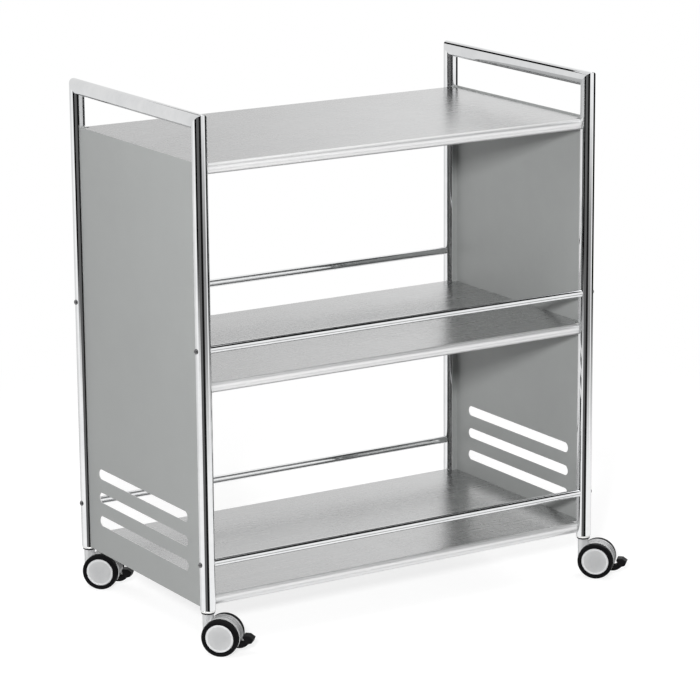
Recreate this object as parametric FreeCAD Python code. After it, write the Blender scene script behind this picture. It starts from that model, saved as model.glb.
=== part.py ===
"""Hostess trolley: two tube side frames with slotted sheet panels, three folded
shelves, guard rails and four braked twin-wheel casters.

Millimetres, +Z up, +X along the shelves, -Y is the front.
The floor is at z = 0 and the origin is at the middle of the footprint.
"""
import FreeCAD
import Part
import math
import os

Vector = FreeCAD.Vector
X_AXIS = Vector(1, 0, 0)
Y_AXIS = Vector(0, 1, 0)
Z_AXIS = Vector(0, 0, 1)
CENTRE = Vector(0, 0, 0)

# ---- whole trolley
overall_length = 700.0      # over the outsides of the tubes, along X
overall_depth = 400.0       # over the outsides of the tubes, along Y
overall_height = 800.0      # floor to the top of the handle bars

# ---- side frames: round tube, mitred and welded at the top corners
tube_d = 23.0
tube_wall = 1.2
foot_height = 65.0          # floor to the tube ends

# ---- side panels: one folded sheet each, with vent slots
panel_wall = 1.0
panel_offset = 4.5          # outer face, outboard of the tubes' centre plane
panel_return = 10.0         # depth of the folded edges
panel_bend = 2.0            # outside radius of the folds
panel_foot_gap = 1.0        # panel's lower edge above the tube ends
panel_upstand = 2.5         # panel's upper edge above the top shelf
slot_length = 280.0
slot_height = 16.0
slot_pitch = 37.5
slot_count = 3
slot_lift = 34.0            # first slot's centre above the bottom shelf

# ---- shelves: one folded sheet each, with half-round front and back edges
shelf_wall = 1.2
shelf_nose_r = 8.0
shelf_proud = 1.5           # nose beyond the tubes' centre plane
shelf_count = 3
handle_rise = 73.0          # top shelf to the top of the handle bars
shelf_lift = 4.0            # lowest shelf's underside above the tube ends
shelf_return = 14.0         # folded strip under each nose
end_flange = 14.0           # folded strip against the side panel
end_bend = 2.0
end_margin = 5.0            # shelf end's distance from the tubes' inner side
nose_gap = 0.4              # nose's end to the tube

# ---- guard rails: coped bars screwed on through the tubes
rail_d = 12.0
rail_bore = 5.0
rail_lift = 50.0            # centre above the shelf's top

# ---- fasteners
rail_screw_head_d = 8.0
rail_screw_head_h = 2.0
rail_screw_grip = 18.0      # length of thread inside the rail
panel_screw_d = 3.0
panel_screw_head_d = 4.8
panel_screw_head_h = 1.4
panel_screw_length = 4.0
panel_screw_drop = 8.0      # centre under the shelf's top
stud_d = 5.0
stud_length = 9.0
stud_spacing = 220.0
stud_drop = 8.0             # centre under the shelf's top
nut_flats = 8.0
nut_height = 4.0
hole_clearance = 0.1        # radial, screws and studs in their holes
seat = 0.05                 # between pieces that touch

# ---- caster mounting: plug in the tube end, with a fixed stem
plug_flange_h = 3.0
plug_flange_d = 22.0
plug_insert = 27.0
stem_shank_d = 10.0
stem_collar_d = 15.0
stem_collar_h = 2.0
stem_pin_d = 8.0
stem_pin_length = 24.0
stem_edge = 0.8             # chamfer at the stem's two ends
running = 0.05              # radial clearance of turning fits
swivel_gap = 0.3            # collar to the top of the neck

# ---- caster
heading = -45.0             # direction in which every caster trails at rest
trail = 22.0                # stem to axle
wheel_d = 56.0
wheel_w = 11.5
wheel_gap = 0.5             # wheel to hood
tyre_depth = 6.5
tyre_shoulder = 3.0
rim_wall = 2.2
hub_boss_d = 12.0
cap_d = 42.0
cap_thick = 1.8
cap_edge = 0.9
cap_inset = 0.6             # cap's face inside the tyre's side
cap_ring_w = 2.6            # raised ring round the cap
cap_recess = 0.5            # cap's middle under its ring
axle_d = 6.0
hood_w = 19.0
hood_rise = 0.5             # hood's skin outside the wheel's outline
hood_wall = 2.5
hood_skirt = 14.0           # lower edge of the hood under the axle
neck_d = 16.5
neck_foot = 14.0            # neck's lower end above the floor
window_top = 20.5           # rear opening of the hood, for the lever

# ---- brake lever: hub, curved arm and pedal, in the caster's middle plane
pivot_pin_d = 4.0
pivot_pin_inset = 0.2       # pin's end inside the hood's side
lever_hub_d = 9.6
lever_w = 12.0
arm_centre_u = 46.5         # centre of the arm's arc, behind the stem
arm_centre_z = 30.5         # above the floor
arm_r_outer = 20.0
arm_r_inner = 12.0
arm_from = -130.0           # the pivot lies on this ray
arm_to = -38.0              # the pedal grows from this ray
pedal_w = 16.0
pedal_tip_u = 70.0
pedal_rise = 0.8            # pedal's top above the arm's centre
pedal_thick = 8.0
pedal_edge = 1.2

# ---- what follows from the sizes above
tube_r = tube_d / 2
post_x = overall_length / 2 - tube_r
post_y = overall_depth / 2 - tube_r
bar_z = overall_height - tube_r
shelf_h = 2 * shelf_nose_r
first_shelf_top = foot_height + shelf_lift + shelf_h
top_shelf_z = overall_height - handle_rise
shelf_pitch = (top_shelf_z - first_shelf_top) / (shelf_count - 1)
shelf_tops = [first_shelf_top + i * shelf_pitch for i in range(shelf_count)]
rail_levels = [top + rail_lift for top in shelf_tops[:-1]]
panel_outer = post_x + panel_offset
panel_inner = panel_outer - panel_wall
panel_half = post_y - tube_r - seat
panel_foot = foot_height + panel_foot_gap
panel_top = top_shelf_z + panel_upstand
wheel_r = wheel_d / 2
hood_r = wheel_r + hood_rise
wheel_v0 = hood_w / 2 + wheel_gap
wheel_v1 = wheel_v0 + wheel_w
neck_top = foot_height - plug_flange_h - stem_collar_h - swivel_gap
rim_r = wheel_r - tyre_depth
cap_face = wheel_v1 - cap_inset
rim_v1 = cap_face - cap_thick

sides = {"left": -1, "right": 1}
ends = {"front": -1, "back": 1}
corners = [(end, side) for end in ends for side in sides]


# ---- small tools

def at(shape, x=0.0, y=0.0, z=0.0):
    """A copy of the shape, moved."""
    moved = shape.copy()
    moved.translate(Vector(x, y, z))
    return moved


def turned_by(shape, axis, degrees):
    """A copy of the shape, turned about an axis through the centre."""
    moved = shape.copy()
    moved.rotate(CENTRE, axis, degrees)
    return moved


def block(x0, x1, y0, y1, z0, z1):
    """A box given by its limits."""
    return Part.makeBox(x1 - x0, y1 - y0, z1 - z0, Vector(x0, y0, z0))


def rod(r, start, axis, length):
    """A solid cylinder."""
    return Part.makeCylinder(r, length, start, axis)


def outline(points):
    """A face in the XY plane from corner points given as (x, y)."""
    loop = [Vector(x, y, 0) for x, y in points]
    return Part.Face(Part.makePolygon(loop + loop[:1]))


def revolved(points):
    """A solid of revolution about Z from corner points (radius, z)."""
    loop = [Vector(r, 0, z) for r, z in points]
    face = Part.Face(Part.makePolygon(loop + loop[:1]))
    return face.revolve(CENTRE, Z_AXIS, 360)


def stadium(half, r, x0, x1):
    """A bar along X whose section is flat above and below, round in front
    and behind. half is from the middle to the centre of each round."""
    core = block(x0, x1, -half, half, -r, r)
    fronts = [rod(r, Vector(x0, y, 0), X_AXIS, x1 - x0) for y in (-half, half)]
    return core.fuse(fronts).removeSplitter()


def above_plane(point, normal, reach):
    """A cube standing on the plane through a point, on its normal's side."""
    cube = block(-reach, reach, -reach, reach, 0, 2 * reach)
    cube.Placement = FreeCAD.Placement(point, FreeCAD.Rotation(Z_AXIS, normal))
    return cube


# ---- side frames

def mitre_wedge(end):
    """Everything above the 45 degree cut at a top corner of a side frame."""
    corner = Vector(0, end * post_y, bar_z)
    return above_plane(corner, Vector(0, -end, 1), overall_depth)


def hollow_bar(start, axis, length):
    """A length of the frame tube."""
    outer = rod(tube_r, start, axis, length)
    return outer.cut(rod(tube_r - tube_wall, start, axis, length))


def post(side, end):
    """An upright, with holes for its rail screws and panel screws."""
    x = side * post_x
    y = end * post_y
    tube = hollow_bar(Vector(0, y, foot_height), Z_AXIS, overall_height - foot_height)
    tube = at(tube.cut(mitre_wedge(end)), x)
    screw_r = rail_bore / 2 + hole_clearance
    start = x - tube_d
    holes = [rod(screw_r, Vector(start, y, z), X_AXIS, 2 * tube_d) for z in rail_levels]
    small_r = panel_screw_d / 2 + hole_clearance
    for top in shelf_tops:
        origin = Vector(x, y, top - panel_screw_drop)
        holes.append(rod(small_r, origin, Vector(0, -end, 0), tube_d))
    return tube.cut(holes)


def handle_bar(side):
    """The bar across the top of a side frame, mitred at both ends."""
    start = Vector(0, -overall_depth / 2, bar_z)
    bar = hollow_bar(start, Y_AXIS, overall_depth)
    for end in ends.values():
        bar = bar.common(mitre_wedge(end))
    return at(bar, side * post_x)


# ---- side panels

def vent_slot(z):
    """A long round-ended slot through a panel, centred on a height."""
    r = slot_height / 2
    half = slot_length / 2 - r
    length = 4 * panel_return
    x0 = panel_outer - length / 2
    middle = block(x0, x0 + length, -half, half, z - r, z + r)
    tips = [rod(r, Vector(x0, y, z), X_AXIS, length) for y in (-half, half)]
    return middle.fuse(tips).removeSplitter()


def vertical_edges(solid, x, y):
    """The upright edges of a solid that stand at (x, +-y)."""
    found = []
    for edge in solid.Edges:
        box = edge.BoundBox
        on_x = abs(box.XMin - x) + abs(box.XMax - x) < 0.01
        on_y = abs(abs(box.YMin) - y) + abs(abs(box.YMax) - y) < 0.01
        if on_x and on_y and box.ZLength > 1:
            found.append(edge)
    return found


def weld_studs():
    """Threaded studs on the panel's inner face, two for each shelf."""
    studs = []
    for top in shelf_tops:
        for y in (-stud_spacing / 2, stud_spacing / 2):
            start = Vector(panel_inner - stud_length, y, top - stud_drop)
            studs.append(rod(stud_d / 2, start, X_AXIS, stud_length))
    return studs


def right_panel():
    """Sheet with both upright edges folded inwards, three slots and studs."""
    inner_half = panel_half - panel_wall
    x0 = panel_outer - panel_return
    skin = block(x0, panel_outer, -panel_half, panel_half, panel_foot, panel_top)
    skin = skin.makeFillet(panel_bend, vertical_edges(skin, panel_outer, panel_half))
    room = block(x0 - 1, panel_inner, -inner_half, inner_half, panel_foot - 1, panel_top + 1)
    room = room.makeFillet(panel_bend - panel_wall, vertical_edges(room, panel_inner, inner_half))
    sheet = skin.cut(room)
    first = first_shelf_top + slot_lift
    cuts = [vent_slot(first + i * slot_pitch) for i in range(slot_count)]
    small_r = panel_screw_d / 2 + hole_clearance
    for top in shelf_tops:
        start = Vector(post_x, -overall_depth / 2, top - panel_screw_drop)
        cuts.append(rod(small_r, start, Y_AXIS, overall_depth))
    return sheet.cut(cuts).fuse(weld_studs()).removeSplitter()


def side_panel(side):
    """The panel on either side, the left one turned half a turn about Z."""
    panel = right_panel()
    return panel if side > 0 else turned_by(panel, Z_AXIS, 180)


# ---- shelves

def shelf_end(side):
    """The sheet that runs on between the tubes, bent down at the panel."""
    near = post_x - tube_r - nose_gap - shelf_nose_r
    far = panel_inner - seat
    half = post_y - tube_r - end_margin
    top = shelf_nose_r
    outer = block(near, far, -half, half, top - end_flange, top)
    bend = [e for e in outer.Edges if abs(e.BoundBox.XMin - far) < 0.01
            and abs(e.BoundBox.ZMin - top) < 0.01]
    outer = outer.makeFillet(end_bend, bend)
    inner = block(near - 1, far - shelf_wall, -half - 1, half + 1,
                  top - end_flange - 1, top - shelf_wall)
    bend = [e for e in inner.Edges if abs(e.BoundBox.XMin - far + shelf_wall) < 0.01
            and abs(e.BoundBox.ZMin - top + shelf_wall) < 0.01]
    inner = inner.makeFillet(end_bend - shelf_wall, bend)
    piece = outer.cut(inner)
    return piece if side > 0 else turned_by(piece, Z_AXIS, 180)


def shelf():
    """Half-round nose in front and behind, folded back under the sheet, with
    notched corners that clear the tubes. Drawn about the nose's centre height."""
    half_x = post_x - tube_r - nose_gap
    half_y = post_y + shelf_proud - shelf_nose_r
    sheet = stadium(half_y, shelf_nose_r, -half_x, half_x)
    hollow = stadium(half_y, shelf_nose_r - shelf_wall, -half_x - 1, half_x + 1)
    open_half = half_y - shelf_return
    opening = block(-half_x - 1, half_x + 1, -open_half, open_half, -shelf_nose_r - 1, 0)
    sheet = sheet.cut([hollow, opening])
    sheet = sheet.fuse([shelf_end(-1), shelf_end(1)])
    holes = []
    for y in (-stud_spacing / 2, stud_spacing / 2):
        start = Vector(-overall_length / 2, y, shelf_nose_r - stud_drop)
        holes.append(rod(stud_d / 2 + hole_clearance, start, X_AXIS, overall_length))
    return sheet.cut(holes).removeSplitter()


# ---- guard rails

def guard_rail(end, z):
    """A bar between two uprights, its ends coped to fit round them."""
    y = end * post_y
    bar = rod(rail_d / 2, Vector(-post_x, y, z), X_AXIS, 2 * post_x)
    tools = [rod(rail_bore / 2, Vector(-post_x, y, z), X_AXIS, 2 * post_x)]
    for side in sides.values():
        start = Vector(side * post_x, y, z - rail_d)
        tools.append(rod(tube_r + seat, start, Z_AXIS, 2 * rail_d))
    return bar.cut(tools)


# ---- fasteners

def pan_screw(head_d, head_h, shank_d, shank_length):
    """A pan-head screw along Z: head above z = 0, shank below."""
    head_r = head_d / 2
    crown = 0.7 * head_r
    shank_r = shank_d / 2
    return revolved([(0, -shank_length), (shank_r, -shank_length), (shank_r, 0), (head_r, 0),
                     (head_r, head_h / 2), (crown, head_h), (0, head_h)])


def rail_screws():
    """The screws that hold the rails, put in from outside the uprights."""
    reach = tube_d + rail_screw_grip
    screw = pan_screw(rail_screw_head_d, rail_screw_head_h, rail_bore - 2 * seat, reach)
    screws = []
    for side in sides.values():
        lying = turned_by(screw, Y_AXIS, side * 90)
        x = side * (overall_length / 2 + seat)
        for end in ends.values():
            screws += [at(lying, x, end * post_y, z) for z in rail_levels]
    return Part.makeCompound(screws)


def panel_screws():
    """Small screws through the panels' folded edges into the uprights."""
    screw = pan_screw(panel_screw_head_d, panel_screw_head_h, panel_screw_d, panel_screw_length)
    screws = []
    for side in sides.values():
        for end in ends.values():
            lying = turned_by(screw, X_AXIS, end * 90)
            y = end * (panel_half - panel_wall - seat)
            for top in shelf_tops:
                screws.append(at(lying, side * post_x, y, top - panel_screw_drop))
    return Part.makeCompound(screws)


def shelf_nuts():
    """Hexagon nuts on the studs, behind the shelves' end flanges."""
    corner_r = nut_flats / math.sqrt(3)
    turns = [math.radians(60 * i) for i in range(6)]
    hexagon = outline([(corner_r * math.cos(a), corner_r * math.sin(a)) for a in turns])
    nut = hexagon.extrude(Vector(0, 0, nut_height))
    nut = nut.cut(rod(stud_d / 2 + seat, CENTRE, Z_AXIS, nut_height))
    lying = turned_by(nut, Y_AXIS, 90)
    face = panel_inner - seat - shelf_wall - seat
    nuts = []
    for start in (face - nut_height, -face):
        for y in (-stud_spacing / 2, stud_spacing / 2):
            nuts += [at(lying, start, y, top - stud_drop) for top in shelf_tops]
    return Part.makeCompound(nuts)


# ---- caster mounting

def tube_plug(end):
    """A flanged plug driven into the tube end, bored for the stem, with a
    pocket for the tip of the lowest panel screw."""
    flange_r = plug_flange_d / 2
    insert_r = tube_r - tube_wall - seat
    bore_r = stem_shank_d / 2 + seat
    base = foot_height - plug_flange_h
    shoulder = foot_height - seat
    rounding = plug_flange_h / 3
    plug = revolved([(bore_r, base), (flange_r - rounding, base), (flange_r, base + rounding),
                     (flange_r, shoulder), (insert_r, shoulder),
                     (insert_r, foot_height + plug_insert), (bore_r, foot_height + plug_insert)])
    mouth = Vector(0, -end * tube_r, first_shelf_top - panel_screw_drop)
    pocket_r = panel_screw_d / 2 + hole_clearance
    return plug.cut(rod(pocket_r, mouth, Y_AXIS * end, panel_screw_length))


def caster_stem():
    """Shank in the plug, collar under it and a pin on which the neck turns."""
    collar_top = foot_height - plug_flange_h - seat
    collar_foot = collar_top - stem_collar_h + seat
    shank_r = stem_shank_d / 2
    pin_r = stem_pin_d / 2
    collar_r = stem_collar_d / 2
    top = foot_height + plug_insert
    foot = collar_foot - stem_pin_length
    return revolved([(0, foot), (pin_r - stem_edge, foot), (pin_r, foot + stem_edge),
                     (pin_r, collar_foot), (collar_r, collar_foot), (collar_r, collar_top),
                     (shank_r, collar_top), (shank_r, top - stem_edge),
                     (shank_r - stem_edge, top), (0, top)])


def under_uprights(front_piece, back_piece):
    """One piece under each upright, both drawn on the Z axis."""
    drawn = {"front": front_piece, "back": back_piece}
    return Part.makeCompound([at(drawn[end], sides[side] * post_x, ends[end] * post_y)
                              for end, side in corners])


# ---- caster: drawn with its stem on the Z axis and its axle at x = trail

def on_axle(shape, hand):
    """Lays a shape turned about Z on the axle, on either side of the hood."""
    lying = turned_by(shape, X_AXIS, -90 * hand)
    return at(lying, trail, 0, wheel_r)


def hood():
    """Neck, axle boss and a hollow guard between the two wheels, open below
    and with a window at the back for the brake lever."""
    half = hood_w / 2
    inner = half - hood_wall
    disc = on_axle(at(rod(hood_r, CENTRE, Z_AXIS, hood_w), 0, 0, -half), 1)
    room = on_axle(at(rod(hood_r - hood_wall, CENTRE, Z_AXIS, 2 * inner), 0, 0, -inner), 1)
    boss = on_axle(at(rod(hub_boss_d / 2, CENTRE, Z_AXIS, hood_w), 0, 0, -half), 1)
    neck = rod(neck_d / 2, Vector(0, 0, neck_foot), Z_AXIS, neck_top - neck_foot)
    below = block(-wheel_d, 2 * wheel_d, -wheel_d, wheel_d, -1, wheel_r - hood_skirt)
    window = block(arm_centre_u - arm_r_inner, 2 * wheel_d, -inner, inner, 0, window_top)
    shell = disc.cut([room, below]).fuse([neck, boss]).cut(window)
    pin_room = stem_pin_length + 2 * swivel_gap
    pin_hole = rod(stem_pin_d / 2 + running, Vector(0, 0, neck_top - pin_room), Z_AXIS, pin_room)
    axle_hole = on_axle(at(rod(axle_d / 2 + seat, CENTRE, Z_AXIS, hood_w), 0, 0, -half), 1)
    pivot_hole = lying_pin(pivot_pin_d / 2 + seat, half + 1)
    return shell.cut([pin_hole, axle_hole, pivot_hole])


def axle():
    """The pin that both wheels turn on, pressed into the hood."""
    half = rim_v1 - swivel_gap
    return on_axle(at(rod(axle_d / 2, CENTRE, Z_AXIS, 2 * half), 0, 0, -half), 1)


def tyre(hand):
    """A soft tread with shoulders bevelled twice, at 30 and 60 degrees."""
    s = tyre_shoulder
    k = s * (1 - math.sqrt(0.5))
    ring = revolved([(rim_r, wheel_v0), (wheel_r - s, wheel_v0), (wheel_r - k, wheel_v0 + k),
                     (wheel_r, wheel_v0 + s), (wheel_r, wheel_v1 - s),
                     (wheel_r - k, wheel_v1 - k), (wheel_r - s, wheel_v1), (rim_r, wheel_v1)])
    return on_axle(ring, hand)


def rim(hand):
    """A cup-shaped wheel centre with a hub that runs on the axle."""
    bore = axle_d / 2 + running
    boss = hub_boss_d / 2
    outer = rim_r - seat
    floor = wheel_v0 + rim_wall
    cup = revolved([(bore, wheel_v0), (outer, wheel_v0), (outer, rim_v1),
                    (outer - rim_wall, rim_v1), (outer - rim_wall, floor),
                    (boss, floor), (boss, rim_v1 - seat), (bore, rim_v1 - seat)])
    return on_axle(cup, hand)


def cap(hand):
    """The disc that closes the rim, with a raised ring and a bevelled edge."""
    r = cap_d / 2
    step = r - cap_ring_w
    low = cap_face - cap_recess
    plate = revolved([(0, rim_v1 + seat), (r, rim_v1 + seat), (r, cap_face - cap_edge),
                      (r - cap_edge, cap_face), (step, cap_face), (step - cap_recess, low),
                      (0, low)])
    return on_axle(plate, hand)


def pivot():
    """Where the brake lever turns: behind the stem and above the floor."""
    r = (arm_r_outer + arm_r_inner) / 2
    turn = math.radians(arm_from)
    return Vector(arm_centre_u + r * math.cos(turn), 0, arm_centre_z + r * math.sin(turn))


def lying_pin(r, half):
    """A rod across the caster at the lever's pivot."""
    return rod(r, pivot() - Y_AXIS * half, Y_AXIS, 2 * half)


def lever_pin():
    """The pin that carries the brake lever, held in the hood's cheeks."""
    return lying_pin(pivot_pin_d / 2, hood_w / 2 - pivot_pin_inset)


def on_ray(r, degrees):
    """A point about the arm's centre, in the caster's middle plane."""
    turn = math.radians(degrees)
    return Vector(arm_centre_u + r * math.cos(turn), 0, arm_centre_z + r * math.sin(turn))


def lever_arm():
    """The curved arm, a band between two arcs."""
    middle = (arm_from + arm_to) / 2
    outer = Part.Arc(on_ray(arm_r_outer, arm_from), on_ray(arm_r_outer, middle),
                     on_ray(arm_r_outer, arm_to)).toShape()
    inner = Part.Arc(on_ray(arm_r_inner, arm_to), on_ray(arm_r_inner, middle),
                     on_ray(arm_r_inner, arm_from)).toShape()
    tip = Part.makeLine(on_ray(arm_r_outer, arm_to), on_ray(arm_r_inner, arm_to))
    root = Part.makeLine(on_ray(arm_r_inner, arm_from), on_ray(arm_r_outer, arm_from))
    band = Part.Face(Part.Wire([outer, tip, inner, root]))
    return at(band.extrude(Y_AXIS * lever_w), 0, -lever_w / 2)


def lever_pedal():
    """The wedge that the foot presses, sloping down towards its tip."""
    top = arm_centre_z + pedal_rise
    low = on_ray(arm_r_outer, arm_to)
    heel = on_ray(arm_r_inner, arm_to)
    middle = (heel.x + pedal_tip_u) / 2
    corner_points = [low, Vector(pedal_tip_u - pedal_thick / 3, 0, top - 1.45 * pedal_thick),
                     Vector(pedal_tip_u, 0, top - 0.6 * pedal_thick),
                     Vector(middle, 0, top), Vector(heel.x - pedal_edge, 0, top),
                     Vector(heel.x - 2 * pedal_edge, 0, top - 0.4 * pedal_thick), heel]
    face = Part.Face(Part.makePolygon(corner_points + corner_points[:1]))
    wedge = at(face.extrude(Y_AXIS * pedal_w), 0, -pedal_w / 2)
    rims = [e for e in wedge.Edges if abs(abs(e.CenterOfMass.y) - pedal_w / 2) < 0.01
            and e.CenterOfMass.z > top - 1.3 * pedal_thick and e.CenterOfMass.x > heel.x]
    return wedge.makeChamfer(pedal_edge, rims)


def brake_lever():
    """Hub, arm and pedal in one moulding, bored to turn on its pin."""
    hub = lying_pin(lever_hub_d / 2, lever_w / 2)
    bore = lying_pin(pivot_pin_d / 2 + running, lever_w)
    return lever_arm().fuse([hub, lever_pedal()]).cut(bore).removeSplitter()


def placed_caster(shape, end, side):
    """Turns a caster piece to its heading and puts it under its upright."""
    facing = turned_by(shape, Z_AXIS, heading)
    return at(facing, sides[side] * post_x, ends[end] * post_y)


# ---- footprint: the origin is at the middle of the trolley's outline

def reach_along(u, v, corner_r):
    """How far a rounded corner at (u, v) of a caster reaches along X."""
    turn = math.radians(heading)
    return (u - corner_r) * math.cos(turn) + (v - corner_r) * abs(math.sin(turn)) + corner_r


def reach_across(u, v, corner_r):
    """How far the same corner reaches along Y."""
    turn = math.radians(heading)
    return (u - corner_r) * abs(math.sin(turn)) + (v - corner_r) * math.cos(turn) + corner_r


def footprint_shift():
    """From the middle of the uprights to the middle of the outline."""
    pedal = (pedal_tip_u, pedal_w / 2 - pedal_edge, 0)
    tread = (wheel_r - trail, wheel_v1, tyre_shoulder)
    shift_x = (reach_along(*pedal) - reach_along(*tread)) / 2
    shift_y = -(reach_across(*pedal) - reach_across(*tread)) / 2
    return shift_x, shift_y


# ---- all the pieces

def frame_pieces():
    """Everything that stays still, by node name."""
    pieces = {}
    for side, sx in sides.items():
        pieces[side + "_handle_bar"] = handle_bar(sx)
        pieces[side + "_side_panel"] = side_panel(sx)
        for end, sy in ends.items():
            pieces[end + "_" + side + "_upright"] = post(sx, sy)
    for name, top in zip(("bottom_shelf", "middle_shelf", "top_shelf"), shelf_tops):
        pieces[name] = at(shelf(), 0, 0, top - shelf_nose_r)
    for level, z in zip(("lower", "upper"), rail_levels):
        for end, sy in ends.items():
            pieces[end + "_" + level + "_rail"] = guard_rail(sy, z)
    pieces["rail_screws"] = rail_screws()
    pieces["panel_screws"] = panel_screws()
    pieces["shelf_nuts"] = shelf_nuts()
    pieces["tube_plugs"] = under_uprights(tube_plug(-1), tube_plug(1))
    pieces["caster_stems"] = under_uprights(caster_stem(), caster_stem())
    return pieces


def caster_pieces():
    """One caster, drawn about its own stem, by piece name."""
    pieces = {"hood": hood(), "axle": axle(), "lever_pin": lever_pin()}
    pieces["brake_lever"] = brake_lever()
    for name, hand in (("right", 1), ("left", -1)):
        pieces[name + "_tyre"] = tyre(hand)
        pieces[name + "_rim"] = rim(hand)
        pieces[name + "_cap"] = cap(hand)
    return pieces


def main():
    os.makedirs("parts", exist_ok=True)
    nodes = frame_pieces()
    for name, shape in caster_pieces().items():
        for end, side in corners:
            nodes[end + "_" + side + "_" + name] = placed_caster(shape, end, side)
    shift_x, shift_y = footprint_shift()
    for name, shape in nodes.items():
        at(shape, -shift_x, -shift_y).exportStep("parts/" + name + ".step")
    print(len(nodes), "nodes, origin moved by", round(shift_x, 3), round(shift_y, 3))


main()
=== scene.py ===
import math

import bmesh
import bpy
import numpy as np
from mathutils import Matrix, Vector


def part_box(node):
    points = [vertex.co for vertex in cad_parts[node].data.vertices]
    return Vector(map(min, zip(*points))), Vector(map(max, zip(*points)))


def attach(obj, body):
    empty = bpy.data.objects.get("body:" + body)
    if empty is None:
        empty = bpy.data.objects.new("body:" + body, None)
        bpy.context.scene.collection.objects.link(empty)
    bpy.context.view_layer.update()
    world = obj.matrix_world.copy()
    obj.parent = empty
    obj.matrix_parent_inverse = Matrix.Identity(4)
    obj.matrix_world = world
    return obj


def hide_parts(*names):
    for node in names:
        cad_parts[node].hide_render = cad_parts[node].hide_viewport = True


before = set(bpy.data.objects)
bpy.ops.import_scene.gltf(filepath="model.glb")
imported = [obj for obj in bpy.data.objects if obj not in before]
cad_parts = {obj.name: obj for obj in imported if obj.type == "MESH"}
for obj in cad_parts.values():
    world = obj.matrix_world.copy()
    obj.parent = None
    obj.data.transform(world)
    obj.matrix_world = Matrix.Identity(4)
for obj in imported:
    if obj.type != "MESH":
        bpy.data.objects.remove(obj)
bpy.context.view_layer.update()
cornerNames = ("front_left", "front_right", "back_left", "back_right")
sideNames = {"left": -1, "right": 1}
shelfNames = {"bottom_shelf": "bottomShelf", "middle_shelf": "middleShelf", "top_shelf": "topShelf"}
sharpEdge = 35  # degrees between two faces from which their edge stays sharp
flatWithin = 0.4  # degrees between neighbouring triangles that count as one flat face
weldReach = 2e-6  # metres within which two points become one


def boxMiddle(node):  # the middle of a CAD node's box
    low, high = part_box(node)
    return (low + high) / 2


def pieceTitle(corner):  # front_left becomes frontLeft
    end, side = corner.split("_")
    return end + side.capitalize()


# meshes: every surface is a grid of points in two parameters, or several of them sewn together
def gridFaces(rows, cols, closeRows=False, closeCols=False):  # quads between neighbouring rows and columns
    r, c = np.meshgrid(np.arange(rows if closeRows else rows - 1),
                       np.arange(cols if closeCols else cols - 1), indexing="ij")
    r2, c2 = (r + 1) % rows, (c + 1) % cols
    quads = np.stack([r * cols + c, r2 * cols + c, r2 * cols + c2, r * cols + c2], -1)
    return quads.reshape(-1, 4)


def facingOut(points, faces):  # a closed shell whose signed volume is negative is turned round
    a, b, c, d = (points[faces[:, i]] for i in range(4))
    volume = (a * (np.cross(b, c) + np.cross(c, d))).sum()
    return faces[:, ::-1] if volume < 0 else faces


def joined(shells):  # several (points, faces) as one
    starts = np.cumsum([0] + [len(points) for points, faces in shells[:-1]])
    return (np.concatenate([points for points, faces in shells]),
            np.concatenate([faces + start for (points, faces), start in zip(shells, starts)]))


def roundedCorners(corners, steps=5):
    # a point (x, y, reach) becomes a quadratic curve between the points reach before and after it
    corners = np.array(corners, float)
    middle, reach = corners[:, :2], corners[:, 2:]
    towards = [np.roll(middle, step, 0) - middle for step in (1, -1)]
    lengths = [np.maximum(np.linalg.norm(v, axis=1, keepdims=True), 1e-9) for v in towards]
    before, after = (middle + v / length * reach for v, length in zip(towards, lengths))
    t = np.linspace(0, 1, steps)[:, None, None]
    curve = (1 - t) ** 2 * before + 2 * t * (1 - t) * middle + t ** 2 * after
    return curve.transpose(1, 0, 2).reshape(-1, 2)


def lathe(profile, segments, closedProfile=False):
    # each (radius, height) turned about Z: x = r cos t, y = r sin t, z = height
    profile = np.asarray(profile, float)
    turn = np.linspace(0, 2 * np.pi, segments, endpoint=False)
    r, h = profile[:, :1], profile[:, 1:]
    points = np.stack([r * np.cos(turn), r * np.sin(turn), h + 0 * turn], -1).reshape(-1, 3)
    faces = gridFaces(len(profile), segments, closedProfile, True)
    return points, facingOut(points, faces)


def moved(shell, matrix):  # the shell's points through a 4 x 4 matrix
    points, faces = shell
    m = np.array(matrix)
    return points @ m[:3, :3].T + m[:3, 3], faces


def newObject(name, data):
    thing = bpy.data.objects.new(name, data)
    bpy.context.scene.collection.objects.link(thing)
    return thing


def sewnMesh(name, points, faces):  # a mesh in which points that coincide are one
    mesh = bpy.data.meshes.new(name)
    mesh.from_pydata(points.tolist(), [], faces.tolist() if isinstance(faces, np.ndarray) else faces)
    sewn = bmesh.new()
    sewn.from_mesh(mesh)
    bmesh.ops.remove_doubles(sewn, verts=sewn.verts, dist=weldReach)
    bmesh.ops.dissolve_degenerate(sewn, edges=sewn.edges, dist=1e-7)
    sewn.to_mesh(mesh)
    sewn.free()
    return mesh


def makePiece(name, shell, body, material, replaced=(), sharpAt=sharpEdge):
    mesh = sewnMesh(name, *shell)
    mesh.shade_smooth()
    mesh.set_sharp_from_angle(angle=math.radians(sharpAt))
    mesh.materials.append(material)
    piece = newObject(name, mesh)
    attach(piece, body)
    if replaced:
        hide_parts(*replaced)
    return piece


def normalsOut(mesh, axis=None):  # recalculated normals; with an axis, an open sheet faces along it
    sewn = bmesh.new()
    sewn.from_mesh(mesh)
    bmesh.ops.recalc_face_normals(sewn, faces=sewn.faces)
    if axis is not None and sum(face.normal.dot(axis) * face.calc_area() for face in sewn.faces) < 0:
        bmesh.ops.reverse_faces(sewn, faces=sewn.faces)
    sewn.to_mesh(mesh)
    sewn.free()
    mesh.set_sharp_from_angle(angle=math.radians(sharpEdge))


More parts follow.
